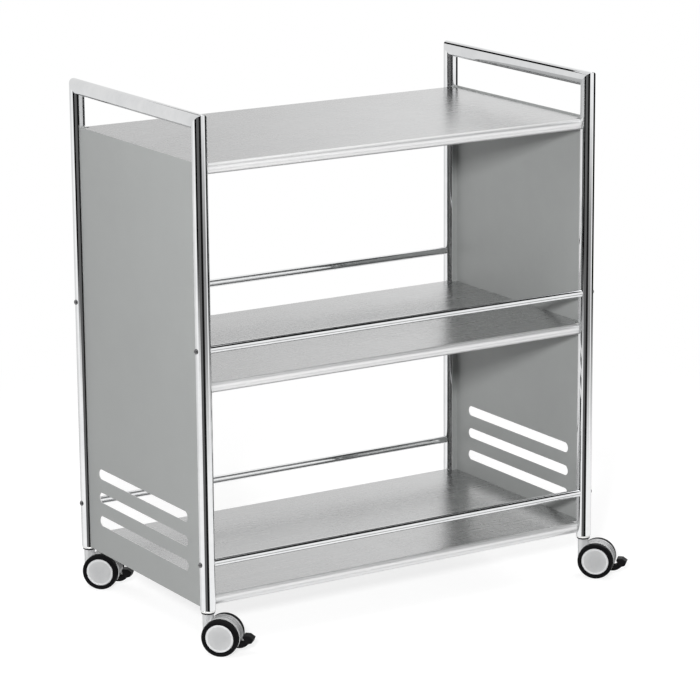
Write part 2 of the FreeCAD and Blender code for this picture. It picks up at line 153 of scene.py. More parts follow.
def nodeShell(node):  # a CAD node's own triangles, merged, with its flat faces made whole again
    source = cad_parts[node].data
    copy = bmesh.new()
    copy.from_mesh(source)
    bmesh.ops.remove_doubles(copy, verts=copy.verts, dist=weldReach)
    bmesh.ops.dissolve_limit(copy, angle_limit=math.radians(flatWithin), verts=copy.verts, edges=copy.edges)
    points = np.array([v.co for v in copy.verts])
    faces = [[v.index for v in f.verts] for f in copy.faces]
    copy.free()
    return points, faces


def bevelled(piece, width, segments=3, angle=32):  # rounds the edges sharper than an angle
    bevel = piece.modifiers.new("edges", "BEVEL")
    bevel.width = width
    bevel.segments = segments
    bevel.limit_method = "ANGLE"
    bevel.angle_limit = math.radians(angle)
    bevel.harden_normals = True
    return piece


# shader groups: each gives values, masks and normals only
def newGroup(name, inputs, outputs):
    group = bpy.data.node_groups.new(name, "ShaderNodeTree")
    for label, kind, value in inputs:
        group.interface.new_socket(label, in_out="INPUT", socket_type=kind).default_value = value
    for label, kind in outputs:
        group.interface.new_socket(label, in_out="OUTPUT", socket_type=kind)
    return group, group.nodes.new("NodeGroupInput"), group.nodes.new("NodeGroupOutput")


def addNode(tree, kind, **values):  # a node with its properties, and its sockets by name or number
    node = tree.nodes.new(kind)
    for key, value in values.items():
        if hasattr(node, key):
            setattr(node, key, value)
        else:
            node.inputs[key.replace("_", " ")].default_value = value
    return node


def mathNode(tree, operation, a, b=0.0, clamp=False):  # one sum or product; a and b are numbers or sockets
    node = tree.nodes.new("ShaderNodeMath")
    node.operation = operation
    node.use_clamp = clamp
    for socket, value in zip(node.inputs, (a, b)):
        if isinstance(value, (int, float)):
            socket.default_value = value
        else:
            tree.links.new(value, socket)
    return node.outputs[0]


def mapRange(tree, value, **ends):  # a value from one range spread over another
    node = addNode(tree, "ShaderNodeMapRange", **ends)
    tree.links.new(value, node.inputs["Value"])
    return node.outputs[0]


def weightedSum(tree, a, b, share):  # a times the share plus b times the rest
    return mathNode(tree, "ADD", mathNode(tree, "MULTIPLY", a, share), mathNode(tree, "MULTIPLY", b, 1 - share))


def objectNoise(tree, **values):  # noise on the piece's own Object coordinates
    noise = addNode(tree, "ShaderNodeTexNoise", **values)
    tree.links.new(addNode(tree, "ShaderNodeTexCoord").outputs["Object"], noise.inputs["Vector"])
    return noise


def brushedGroup():  # noise on coordinates stretched along the brushing, as a shade and as fine furrows
    group, given, result = newGroup("brushedGrain", [("Stretch", "NodeSocketVector", (1, 1, 1)),
                                                     ("Furrow", "NodeSocketFloat", 0.1)],
                                    [("Shade", "NodeSocketFloat"), ("Normal", "NodeSocketVector")])
    place = addNode(group, "ShaderNodeTexCoord")
    stretch = addNode(group, "ShaderNodeMapping")
    group.links.new(place.outputs["Object"], stretch.inputs["Vector"])
    group.links.new(given.outputs["Stretch"], stretch.inputs["Scale"])
    fine = addNode(group, "ShaderNodeTexNoise", Scale=1.0, Detail=6.0, Roughness=0.7)
    group.links.new(stretch.outputs[0], fine.inputs["Vector"])
    broad = addNode(group, "ShaderNodeTexNoise", Scale=0.17, Detail=4.0, Roughness=0.6)
    group.links.new(stretch.outputs[0], broad.inputs["Vector"])
    streaks = weightedSum(group, fine.outputs["Fac"], broad.outputs["Fac"], 0.5)
    shade = mapRange(group, streaks, From_Min=0.38, From_Max=0.62)
    bump = addNode(group, "ShaderNodeBump", Distance=0.0002)
    group.links.new(given.outputs["Furrow"], bump.inputs["Strength"])
    group.links.new(fine.outputs["Fac"], bump.inputs["Height"])
    group.links.new(shade, result.inputs["Shade"])
    group.links.new(bump.outputs[0], result.inputs["Normal"])
    return group


def mottleGroup():  # two sizes of soft cloud added together, for handling marks and uneven gloss
    group, given, result = newGroup("softMottle", [("Size", "NodeSocketFloat", 8.0)],
                                    [("Value", "NodeSocketFloat")])
    wide = objectNoise(group, Detail=3.0, Roughness=0.55)
    close = objectNoise(group, Detail=5.0, Roughness=0.6)
    group.links.new(given.outputs["Size"], wide.inputs["Scale"])
    group.links.new(mathNode(group, "MULTIPLY", given.outputs["Size"], 6.3), close.inputs["Scale"])
    mixed = weightedSum(group, wide.outputs["Fac"], close.outputs["Fac"], 0.65)
    group.links.new(mapRange(group, mixed, From_Min=0.35, From_Max=0.65), result.inputs["Value"])
    return group


def grainGroup():  # pebbled noise for moulded and painted surfaces, as a normal
    group, given, result = newGroup("mouldGrain", [("Size", "NodeSocketFloat", 900.0),
                                                   ("Depth", "NodeSocketFloat", 0.1)],
                                    [("Normal", "NodeSocketVector")])
    pebble = objectNoise(group, Detail=2.0, Roughness=0.5)
    bump = addNode(group, "ShaderNodeBump", Distance=0.0002)
    group.links.new(given.outputs["Size"], pebble.inputs["Scale"])
    group.links.new(given.outputs["Depth"], bump.inputs["Strength"])
    group.links.new(pebble.outputs["Fac"], bump.inputs["Height"])
    group.links.new(bump.outputs[0], result.inputs["Normal"])
    return group


def dustGroup():  # upward faces times a cloud: where dust settles
    group, given, result = newGroup("settledDust", [("Amount", "NodeSocketFloat", 0.3)],
                                    [("Mask", "NodeSocketFloat")])
    facing = addNode(group, "ShaderNodeNewGeometry")
    split = addNode(group, "ShaderNodeSeparateXYZ")
    cloud = objectNoise(group, Scale=38.0, Detail=5.0, Roughness=0.65)
    group.links.new(facing.outputs["Normal"], split.inputs[0])
    upward = mapRange(group, split.outputs["Z"], From_Min=-0.2, From_Max=1.0)
    mask = mathNode(group, "MULTIPLY", upward, cloud.outputs["Fac"])
    mask = mathNode(group, "MULTIPLY", mask, given.outputs["Amount"], clamp=True)
    group.links.new(mask, result.inputs["Mask"])
    return group


def wearGroup():  # the mesh's own pointiness, broken up by noise: rubbed corners
    group, given, result = newGroup("rubbedEdges", [("Amount", "NodeSocketFloat", 0.5)],
                                    [("Mask", "NodeSocketFloat")])
    facing = addNode(group, "ShaderNodeNewGeometry")
    cloud = objectNoise(group, Scale=160.0, Detail=4.0)
    sharp = mapRange(group, facing.outputs["Pointiness"], From_Min=0.515, From_Max=0.6)
    mask = mathNode(group, "MULTIPLY", sharp, cloud.outputs["Fac"])
    mask = mathNode(group, "MULTIPLY", mask, given.outputs["Amount"], clamp=True)
    group.links.new(mask, result.inputs["Mask"])
    return group


brushed, mottle, grain, dust, wear = brushedGroup(), mottleGroup(), grainGroup(), dustGroup(), wearGroup()


def emptyTree(owner):  # the node tree of a material or world, without its usual nodes
    owner.use_nodes = True
    owner.node_tree.nodes.clear()
    return owner.node_tree


def newMaterial(name, **sockets):  # a Principled material with its plain numbers on the shader's own sockets
    material = bpy.data.materials.new(name)
    material.use_nodes = True
    tree = material.node_tree
    shader = tree.nodes["Principled BSDF"]
    for key, value in sockets.items():
        shader.inputs[key.replace("_", " ")].default_value = value
    return material, tree, shader


def useGroup(tree, group, **values):
    node = tree.nodes.new("ShaderNodeGroup")
    node.node_tree = group
    for key, value in values.items():
        node.inputs[key].default_value = value
    return node


def blendColours(tree, factor, first, second):  # colours or sockets: first where the factor is 0, second where 1
    node = tree.nodes.new("ShaderNodeMix")
    node.data_type = "RGBA"
    tree.links.new(factor, node.inputs["Factor"])
    for socket, value in ((node.inputs[6], first), (node.inputs[7], second)):
        if isinstance(value, tuple):
            socket.default_value = value + (1,)
        else:
            tree.links.new(value, socket)
    return node.outputs[2]


def between(tree, value, low, high):  # a 0 to 1 value spread from low to high
    return mapRange(tree, value, To_Min=low, To_Max=high)


def dustier(tree, rough, fallen, amount):  # roughness that grows under the dust
    extra = mathNode(tree, "MULTIPLY", fallen.outputs["Mask"], amount)
    return mathNode(tree, "ADD", rough, extra, clamp=True)


def finished(tree, shader, colour, rough, normal):
    for socket, value in (("Base Color", colour), ("Roughness", rough), ("Normal", normal)):
        tree.links.new(value, shader.inputs[socket])


def mixShaders(tree, factor, first, second):  # the first where the factor is 0, the second where it is 1
    node = tree.nodes.new("ShaderNodeMixShader")
    for socket, value in zip(node.inputs, (factor, first, second)):
        tree.links.new(value, socket)
    return node.outputs[0]


chromeLook = dict(clean=(0.90, 0.905, 0.91), dull=(0.80, 0.81, 0.82), dusty=(0.55, 0.54, 0.52),
                  roughFrom=0.015, roughTo=0.045, dustAmount=0.08, dustRough=0.5, cloudSize=14.0,
                  rippleSize=60.0, ripple=0.012)
steelLook = dict(dark=(0.525, 0.53, 0.535), light=(0.59, 0.59, 0.59), dusty=(0.60, 0.59, 0.57),
                 roughFrom=0.21, roughTo=0.28, dustAmount=0.12, dustRough=0.35, stretch=(14, 900, 900),
                 furrow=0.20, cloudSize=6.0, metallic=1.0)
# the noses' look: the sheet's steel made lighter and less metallic, a painted highlight along the rolled noses
noseHighlightLook = dict(steelLook, dark=(0.72, 0.725, 0.73), light=(0.79, 0.79, 0.79), roughFrom=0.28, roughTo=0.36,
                metallic=0.6)
paintLook = dict(dark=(0.300, 0.309, 0.306), light=(0.326, 0.336, 0.332), dusty=(0.52, 0.51, 0.49),
                 roughFrom=0.36, roughTo=0.46, dustAmount=0.12, cloudSize=5.0, grainSize=1400.0, grainDepth=0.05)


def chromeMaterial():  # mirror metal with faint clouds of handling and a little dust on top
    look = chromeLook
    material, tree, shader = newMaterial("chromeTube", Metallic=1.0)
    clouds = useGroup(tree, mottle, Size=look["cloudSize"])
    fallen = useGroup(tree, dust, Amount=look["dustAmount"])
    colour = blendColours(tree, clouds.outputs["Value"], look["clean"], look["dull"])
    colour = blendColours(tree, fallen.outputs["Mask"], colour, look["dusty"])
    rough = between(tree, clouds.outputs["Value"], look["roughFrom"], look["roughTo"])
    rough = dustier(tree, rough, fallen, look["dustRough"])
    ripples = useGroup(tree, grain, Size=look["rippleSize"], Depth=look["ripple"])
    finished(tree, shader, colour, rough, ripples.outputs["Normal"])
    return material


def steelMaterial(name, look):  # brushed sheet: furrows along the shelf, streaked in shade and gloss
    material, tree, shader = newMaterial(name, Metallic=look["metallic"])
    lines = useGroup(tree, brushed, Stretch=look["stretch"], Furrow=look["furrow"])
    clouds = useGroup(tree, mottle, Size=look["cloudSize"])
    fallen = useGroup(tree, dust, Amount=look["dustAmount"])
    colour = blendColours(tree, lines.outputs["Shade"], look["dark"], look["light"])
    colour = blendColours(tree, fallen.outputs["Mask"], colour, look["dusty"])
    mixed = weightedSum(tree, lines.outputs["Shade"], clouds.outputs["Value"], 0.6)
    rough = between(tree, mixed, look["roughFrom"], look["roughTo"])
    rough = dustier(tree, rough, fallen, look["dustRough"])
    finished(tree, shader, colour, rough, lines.outputs["Normal"])
    return material


def paintMaterial():  # satin grey lacquer on sheet: fine orange peel, soft clouds of gloss
    look = paintLook
    material, tree, shader = newMaterial("satinPanel", Metallic=0.1)
    clouds = useGroup(tree, mottle, Size=look["cloudSize"])
    peel = useGroup(tree, grain, Size=look["grainSize"], Depth=look["grainDepth"])
    fallen = useGroup(tree, dust, Amount=look["dustAmount"])
    colour = blendColours(tree, clouds.outputs["Value"], look["dark"], look["light"])
    colour = blendColours(tree, fallen.outputs["Mask"], colour, look["dusty"])
    rough = between(tree, clouds.outputs["Value"], look["roughFrom"], look["roughTo"])
    finished(tree, shader, colour, rough, peel.outputs["Normal"])
    return material


# moulded plastic, rubber, cast metal and small steel parts: shades, roughness from and to, grain size and depth
moulded = dict(cloudSize=30.0, rub=0.7, dusty=(0.42, 0.41, 0.39), dustRough=0.4, metallic=0.0, gloss=0.5)
mouldedLooks = {
    "tyreRubber": dict(dark=(0.0035, 0.0035, 0.004), light=(0.006, 0.006, 0.0065), worn=(0.02, 0.02, 0.02),
                       rough=(0.45, 0.6), grain=(1600.0, 0.10), dust=0.008, gloss=0.08),
    "leverNylon": dict(dark=(0.0035, 0.0035, 0.004), light=(0.005, 0.005, 0.0055), worn=(0.02, 0.02, 0.02),
                       rough=(0.32, 0.45), grain=(2200.0, 0.08), dust=0.008, gloss=0.12),
    "hoodSilver": dict(dark=(0.54, 0.545, 0.55), light=(0.60, 0.605, 0.61), worn=(0.80, 0.80, 0.80),
                       rough=(0.20, 0.30), grain=(1800.0, 0.02), dust=0.04, metallic=0.30),
    "rimGrey": dict(dark=(0.30, 0.30, 0.305), light=(0.36, 0.36, 0.365), worn=(0.5, 0.5, 0.5),
                    rough=(0.35, 0.5), grain=(1800.0, 0.05), dust=0.1),
    "capSilver": dict(dark=(0.50, 0.505, 0.51), light=(0.55, 0.555, 0.56), worn=(0.7, 0.7, 0.7),
                      rough=(0.34, 0.42), grain=(2600.0, 0.03), dust=0.08, metallic=0.35),
    # the cap's raised ring: a lighter copy of the cap's silver, a painted highlight
    "capRingHighlight": dict(dark=(0.58, 0.585, 0.59), light=(0.63, 0.635, 0.64), worn=(0.85, 0.85, 0.85),
                       rough=(0.30, 0.40), grain=(1800.0, 0.01), dust=0.03, metallic=0.1),
    "plugPale": dict(dark=(0.74, 0.74, 0.73), light=(0.80, 0.80, 0.79), worn=(0.85, 0.85, 0.84),
                     rough=(0.35, 0.5), grain=(1800.0, 0.05), dust=0.1),
    "screwSteel": dict(dark=(0.16, 0.16, 0.165), light=(0.24, 0.24, 0.245), worn=(0.45, 0.45, 0.45),
                       rough=(0.26, 0.4), grain=(2400.0, 0.03), dust=0.05, metallic=1.0),
    # the panels' edges: a lighter copy of the grey paint, a painted highlight along the sheet's edges
    "panelEdgeHighlight": dict(dark=(0.62, 0.62, 0.62), light=(0.70, 0.70, 0.70), worn=(0.75, 0.75, 0.75),
                    rough=(0.3, 0.42), grain=(2000.0, 0.03), dust=0.04, metallic=0.3),
    "pinSteel": dict(dark=(0.50, 0.50, 0.505), light=(0.58, 0.58, 0.585), worn=(0.7, 0.7, 0.7),
                     rough=(0.22, 0.34), grain=(2400.0, 0.03), dust=0.05, metallic=1.0)}


def mouldedMaterial(name):  # grain, cloudy gloss, rubbed edges and settled dust
    look = moulded | mouldedLooks[name]
    material, tree, shader = newMaterial(name, Metallic=look["metallic"], Specular_IOR_Level=look["gloss"])
    clouds = useGroup(tree, mottle, Size=look["cloudSize"])
    skin = useGroup(tree, grain, Size=look["grain"][0], Depth=look["grain"][1])
    rubbed = useGroup(tree, wear, Amount=look["rub"])
    fallen = useGroup(tree, dust, Amount=look["dust"])
    colour = blendColours(tree, clouds.outputs["Value"], look["dark"], look["light"])
    colour = blendColours(tree, rubbed.outputs["Mask"], colour, look["worn"])
    colour = blendColours(tree, fallen.outputs["Mask"], colour, look["dusty"])
    rough = between(tree, clouds.outputs["Value"], *look["rough"])
    rough = dustier(tree, rough, fallen, look["dustRough"])
    finished(tree, shader, colour, rough, skin.outputs["Normal"])
    return material


chrome, paint = chromeMaterial(), paintMaterial()
steel, noseHighlightSteel = steelMaterial("brushedSteel", steelLook), steelMaterial("noseHighlightSteel", noseHighlightLook)
small = {name: mouldedMaterial(name) for name in mouldedLooks}
print("materials:", len(bpy.data.materials))


# side frames: a hollow tube from the front foot over two mitred corners to the back foot
tube = dict(radius=0.0115, wall=0.0012, footEdge=0.0003, boreEdge=0.00001, seamSoft=0.00015, seamReach=0.00035,
            segments=96)


def tubeWall(x, frontY, backY, footZ, barZ, radius, edge, soft):
    # rings (x + r cos t, y -+ r sin t): on the legs the height ends in the 45 degree plane z = bar + r sin t,
    # and the ring in that plane is drawn in a little, which rounds the welded corner
    turn = np.linspace(0, 2 * np.pi, tube["segments"], endpoint=False)
    side, out, reach = radius * np.cos(turn), radius * np.sin(turn), tube["seamReach"]
    slim = (radius - edge) / radius
    drawnIn = out * (1 - soft / radius)

    def leg(y, hand, height, scale=1.0):
        return np.stack([x + side * scale, y + hand * out * scale, height + 0 * out], -1)

    def bar(y):
        return np.stack([x + side, y, barZ + out], -1)

    front = [leg(frontY, -1, footZ, slim), leg(frontY, -1, footZ + edge),
             leg(frontY, -1, barZ + out - 2 * reach), leg(frontY, -1, barZ + out - reach),
             np.stack([x + side, frontY - drawnIn, barZ + drawnIn], -1)]
    top = [bar(frontY - out + reach), bar(frontY - out + 2 * reach),
           bar(backY + out - 2 * reach), bar(backY + out - reach)]
    back = [np.stack([x + side, backY + drawnIn, barZ + drawnIn], -1),
            leg(backY, 1, barZ + out - reach), leg(backY, 1, barZ + out - 2 * reach),
            leg(backY, 1, footZ + edge), leg(backY, 1, footZ, slim)]
    return front + top + back


def makeSideFrame(side):
    frontNode, backNode, barNode = "front_" + side + "_upright", "back_" + side + "_upright", side + "_handle_bar"
    front, back, bar = boxMiddle(frontNode), boxMiddle(backNode), boxMiddle(barNode)
    footZ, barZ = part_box(frontNode)[0].z, bar.z
    outer = tubeWall(front.x, front.y, back.y, footZ, barZ, tube["radius"], tube["footEdge"], tube["seamSoft"])
    inner = tubeWall(front.x, front.y, back.y, footZ, barZ, tube["radius"] - tube["wall"], tube["boreEdge"], 0.0)
    rings = np.array(outer + inner[::-1])
    points = rings.reshape(-1, 3)
    faces = facingOut(points, gridFaces(len(rings), tube["segments"], True, True))
    makePiece(side + "SideFrame", (points, faces), "frame", chrome, (frontNode, backNode, barNode))


for side in sideNames:
    makeSideFrame(side)
print("side frames: 2")


# guard rails: a bored bar whose ends are coped to the upright, x = post - sqrt(R^2 - y^2)
railBar = dict(radius=0.006, bore=0.0025, cope=0.01155, segments=64)


def railRing(postX, hand, y, z, radius):
    turn = np.linspace(0, 2 * np.pi, railBar["segments"], endpoint=False)
    across, up = radius * np.cos(turn), radius * np.sin(turn)
    return np.stack([postX - hand * np.sqrt(railBar["cope"] ** 2 - across ** 2), y + across, z + up], -1)


def makeRail(end, level):
    node = end + "_" + level + "_rail"
    middle = boxMiddle(node)
    left, right = boxMiddle(end + "_left_upright"), boxMiddle(end + "_right_upright")
    rings = np.array([railRing(left.x, -1, middle.y, middle.z, railBar["radius"]),
                      railRing(right.x, 1, middle.y, middle.z, railBar["radius"]),
                      railRing(right.x, 1, middle.y, middle.z, railBar["bore"]),
                      railRing(left.x, -1, middle.y, middle.z, railBar["bore"])])
    points = rings.reshape(-1, 3)
    faces = facingOut(points, gridFaces(4, railBar["segments"], True, True))
    makePiece(end + level.capitalize() + "Rail", (points, faces), "frame", chrome, (node,))


for end in ("front", "back"):
    for level in ("lower", "upper"):
        makeRail(end, level)
print("guard rails: 4")


# shelves: one folded sheet with half-round noses, and between the tubes a tongue bent down at each end
shelfSheet = dict(wall=0.0012, noseRadius=0.008, noseLine=0.182, lip=0.014, bodyHalf=0.3266,
                  tongueHalf=0.172, flange=0.014, bend=0.002, noseSteps=25, bendSteps=9, edge=0.00025)


def sheetPath(offset):
    # half of the section, from the lip under the nose to the tongue's line: (y, z) with the sheet's top at z = 0;
    # the nose is a half turn about (noseLine, -noseRadius)
    s = shelfSheet
    r = s["noseRadius"] - offset
    turn = np.linspace(-np.pi / 2, np.pi / 2, s["noseSteps"])
    nose = np.stack([s["noseLine"] + r * np.cos(turn), -s["noseRadius"] + r * np.sin(turn)], -1)
    lip = [[s["noseLine"] - s["lip"], -s["noseRadius"] - r]]
    return np.concatenate([lip, nose, [[s["tongueHalf"], -offset]]])


def tonguePath(offset, start, far):
    # (x, z) from the sheet's end along the tongue, round the bend and down the flange
    s = shelfSheet
    r = s["bend"] - offset
    turn = np.linspace(np.pi / 2, 0, s["bendSteps"])
    bend = np.stack([far - s["bend"] + r * np.cos(turn), -s["bend"] + r * np.sin(turn)], -1)
    return np.concatenate([[[start, -offset]], bend, [[far - offset, -s["flange"]]]])


def makeShelf(node, name):
    s = shelfSheet
    low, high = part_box(node)
    middle, top = (low + high) / 2, high.z
    halfOuter, halfInner = sheetPath(0.0), sheetPath(s["wall"])
    mirror = np.array([-1, 1])
    outer = np.concatenate([halfOuter * mirror, halfOuter[::-1]])
    inner = np.concatenate([halfInner * mirror, halfInner[::-1]])
    count = len(outer)
    loop = np.concatenate([outer, inner[::-1]])
    rows = [np.stack([np.full(2 * count, x), loop[:, 0], loop[:, 1]], -1) for x in (-s["bodyHalf"], s["bodyHalf"])]
    points = np.array(rows).reshape(-1, 3)
    faces = gridFaces(2, 2 * count, False, True)
    step = np.arange(count - 1)
    step = step[step != len(halfOuter) - 1]  # the tongue grows from this step
    closing = np.stack([step, step + 1, 2 * count - 2 - step, 2 * count - 1 - step], -1)
    ends = [closing, closing[:, ::-1] + 2 * count]
    shells = [(points, np.concatenate([faces] + ends))]
    reach = (high.x - low.x) / 2
    for hand in (-1, 1):
        upper, under = tonguePath(0.0, s["bodyHalf"], reach), tonguePath(s["wall"], s["bodyHalf"], reach)
        ring = []
        for path, y in ((upper, -1), (upper, 1), (under, 1), (under, -1)):
            ring.append(np.stack([hand * path[:, 0], np.full(len(path), y * s["tongueHalf"]), path[:, 1]], -1))
        tongue = np.array(ring).transpose(1, 0, 2).reshape(-1, 3)
        sides = gridFaces(len(upper), 4, False, True)
        last = 4 * (len(upper) - 1)
        tip = np.array([[last + 3, last + 2, last + 1, last]])
        shell = np.concatenate([sides, tip])
        shells.append((tongue, shell[:, ::-1] if hand > 0 else shell))
    points, faces = joined(shells)
    points = points + np.array([middle.x, middle.y, top])
    piece = makePiece(name, (points, faces), "frame", steel, (node,))
    normalsOut(piece.data)
    piece.data.materials.append(noseHighlightSteel)  # the rolled noses get a lighter, less metallic copy of the sheet's steel: a painted highlight band along each nose
    centres = np.empty(3 * len(piece.data.polygons))
    piece.data.polygons.foreach_get("center", centres)
    noseHighlightFaces = np.abs(centres.reshape(-1, 3)[:, 1] - middle.y) > s["noseLine"]
    piece.data.polygons.foreach_set("material_index", noseHighlightFaces.astype(np.int32))
    bevelled(piece, s["edge"], segments=2, angle=50)


for node, name in shelfNames.items():
    makeShelf(node, name)
print("shelves: 3")


# side panels: a flat sheet with three long slots and two folded edges
panelSheet = dict(wall=0.001, depth=0.010, bend=0.002, slotCount=3, slotRadius=0.008, slotHalf=0.132, pitch=0.0375,
                  firstSlot=0.119, arcSteps=10, straightSteps=12, bendSteps=8, edge=0.0002)


def slotRim(flatHalf):
    # the slot's edge and the edge of the patch round it, point for point: the straight parts go straight up and
    # down, and each point of a round end goes out along its own ray to the patch's edge
    p = panelSheet
    h, w, c, r = p["pitch"] / 2, flatHalf - p["slotHalf"], p["slotHalf"], p["slotRadius"]
    corner = math.atan2(h, w)
    turn = np.concatenate([np.linspace(0, corner, p["arcSteps"]),
                           np.linspace(corner, np.pi / 2, p["arcSteps"])[1:]])
    quarter = np.stack([c + r * np.cos(turn), r * np.sin(turn)], -1)
    reach = np.where(turn <= corner + 1e-9, w / np.maximum(np.cos(turn), 1e-9), h / np.maximum(np.sin(turn), 1e-9))
    patch = np.stack([c + reach * np.cos(turn), reach * np.sin(turn)], -1)
    y = np.linspace(c, 0, p["straightSteps"])[1:]
    quarter = np.concatenate([quarter, np.stack([y, r + 0 * y], -1)])
    patch = np.concatenate([patch, np.stack([y, h + 0 * y], -1)])
    whole = []
    for line in (quarter, patch):
        half = np.concatenate([line, line[-2::-1] * [-1, 1]])
        whole.append(np.concatenate([half, half[-2:0:-1] * [1, -1]]))
    return whole


def panelFace(low, high, slots):
    # the whole outer skin as (y, z, depth) patches: slot patches, plain fields above and below, folded edges
    p = panelSheet
    half = (high.y - low.y) / 2
    flatHalf = half - p["bend"]
    rim, patch = slotRim(flatHalf)
    count = len(rim)
    shells = []
    for z in slots:
        ring = np.concatenate([rim, patch]) + [0, z]
        shells.append((np.column_stack([ring, np.zeros(2 * count)]), gridFaces(2, count, False, True)))
    top = patch[np.abs(patch[:, 1] - p["pitch"] / 2) < 1e-9]
    across = np.unique(np.round(top[:, 0], 9))
    fieldFoot, fieldTop = slots[0] - p["pitch"] / 2, slots[-1] + p["pitch"] / 2
    fields = [(low.z, fieldFoot), (fieldTop, high.z)]
    for z0, z1 in fields:
        levels = np.linspace(z0, z1, 3)
        y, z = np.meshgrid(across, levels)
        shells.append((np.stack([y, z, 0 * y], -1).reshape(-1, 3), gridFaces(3, len(across))))
    beside = np.unique(np.round(patch[np.abs(patch[:, 0] - flatHalf) < 1e-9][:, 1], 9))
    heights = [np.linspace(a, b, 3) for a, b in fields] + [beside + z for z in slots]
    heights = np.unique(np.round(np.concatenate(heights), 8))
    turn = np.linspace(0, np.pi / 2, p["bendSteps"])
    fold = np.stack([flatHalf + p["bend"] * np.sin(turn), p["bend"] * (1 - np.cos(turn))], -1)
    fold = np.concatenate([fold, [[half, p["depth"]]]])
    for hand in (-1, 1):
        z, y = np.meshgrid(heights, hand * fold[:, 0], indexing="ij")
        depth = np.meshgrid(heights, fold[:, 1], indexing="ij")[1]
        faces = gridFaces(len(heights), len(fold))
        shells.append((np.stack([y, z, depth], -1).reshape(-1, 3), faces if hand > 0 else faces[:, ::-1]))
    return joined(shells)


def makePanel(side, hand):
    p = panelSheet
    node = side + "_side_panel"
    low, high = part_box(node)
    outerX = high.x if hand > 0 else low.x
    slots = [p["firstSlot"] + i * p["pitch"] for i in range(p["slotCount"])]
    points, faces = panelFace(low, high, slots)
    middleY = (low.y + high.y) / 2
    placed = np.column_stack([outerX - hand * points[:, 2], middleY + points[:, 0], points[:, 1]])
    piece = makePiece(side + "Panel", (placed, faces), "frame", paint, (node,))
    normalsOut(piece.data, Vector((hand, 0, 0)))
    wall = piece.modifiers.new("wall", "SOLIDIFY")
    wall.thickness = p["wall"]
    wall.offset = -1
    wall.use_even_offset = True
    # the sheet's edges take the lighter material: a painted highlight along its top edge and the slots' rims
    piece.data.materials.append(small["panelEdgeHighlight"])
    wall.material_offset_rim = 1
    bevelled(piece, p["edge"], segments=2, angle=60)


for side, hand in sideNames.items():
    makePanel(side, hand)
print("side panels: 2")


# weld studs behind the shelves' flanges: a threaded rod, its radius a saw-tooth along its length
stud = dict(radius=0.0025, root=0.0021, pitch=0.0008, length=0.009, spacing=0.220, drop=0.008, segments=24)


def studShell():
    turns = int(stud["length"] / stud["pitch"])
    height = np.linspace(0, stud["length"], 2 * turns + 1)
    radius = np.where(np.arange(2 * turns + 1) % 2, stud["radius"], stud["root"])
    profile = np.concatenate([[[0, 0]], np.stack([radius, height], -1), [[0, stud["length"]]]])
    return lathe(profile, stud["segments"])


def makeStuds(side, hand):
    low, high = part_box(side + "_side_panel")
    inner = (high.x if hand > 0 else low.x) - hand * panelSheet["wall"]
    middleY = (low.y + high.y) / 2
    shells = []
    for node in shelfNames:
        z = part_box(node)[1].z - stud["drop"]
        for y in (-0.5, 0.5):
            place = Matrix.Translation((inner, middleY + y * stud["spacing"], z))
            shells.append(moved(studShell(), place @ Matrix.Rotation(-hand * math.pi / 2, 4, "Y")))
    makePiece(side + "PanelStuds", joined(shells), "frame", small["pinSteel"], sharpAt=20)


for side, hand in sideNames.items():
    makeStuds(side, hand)
print("studs: 12")


# rail screws: a domed head with a hexagon socket, put in from outside each upright
railScrew = dict(headRadius=0.004, headHeight=0.002, shank=0.00245, length=0.041, socket=0.00125,
                 socketDepth=0.0012, socketEdge=1.12, flatTop=0.55, drop=0.65, crown=2.2, rim=0.00012,
                 seat=0.00005, segments=48)


def screwShell():
    # rows from the socket's floor up its hexagonal wall, over the dome and down the shank;
    # a hexagon's radius is flat / cos(angle to the nearest flat)
    s = railScrew
    turn = np.linspace(0, 2 * np.pi, s["segments"], endpoint=False)
    hexagon = s["socket"] / np.cos((turn + np.pi / 6) % (np.pi / 3) - np.pi / 6)
    r, h = s["headRadius"], s["headHeight"]
    dome = np.linspace(0.1, 1.0, 7)
    rows = [(0 * turn, h - s["socketDepth"]), (hexagon, h - s["socketDepth"]), (hexagon, h),
            (hexagon * s["socketEdge"], h)]
    rows += [(0 * turn + (s["flatTop"] + (1 - s["flatTop"]) * d) * r, h * (1 - s["drop"] * d ** s["crown"]))
             for d in dome]
    rows += [(0 * turn + r, s["rim"]), (0 * turn + r - s["rim"], 0.0), (0 * turn + s["shank"], 0.0),
             (0 * turn + s["shank"], -s["length"]), (0 * turn, -s["length"])]
    rings = [np.stack([radius * np.cos(turn), radius * np.sin(turn), z + 0 * turn], -1) for radius, z in rows]
    points = np.array(rings).reshape(-1, 3)
    return points, facingOut(points, gridFaces(len(rows), s["segments"], False, True))


def makeRailScrews():
    shells = []
    for corner in cornerNames:
        end, side = corner.split("_")
        hand = sideNames[side]
        post = boxMiddle(corner + "_upright")
        for level in ("lower", "upper"):
            z = boxMiddle(end + "_" + level + "_rail").z
            place = Matrix.Translation((post.x + hand * (tube["radius"] + railScrew["seat"]), post.y, z))
            shells.append(moved(screwShell(), place @ Matrix.Rotation(hand * math.pi / 2, 4, "Y")))
    makePiece("railScrewHeads", joined(shells), "frame", small["screwSteel"], ("rail_screws",),
              sharpAt=30)


makeRailScrews()
print("rail screws: 8")


# tube plugs: a flanged collar pressed into each foot, turned about the upright's axis
plug = dict(flange=0.011, base=0.062, shoulder=0.06495, insert=0.01025, top=0.092, bore=0.00505, segments=64)


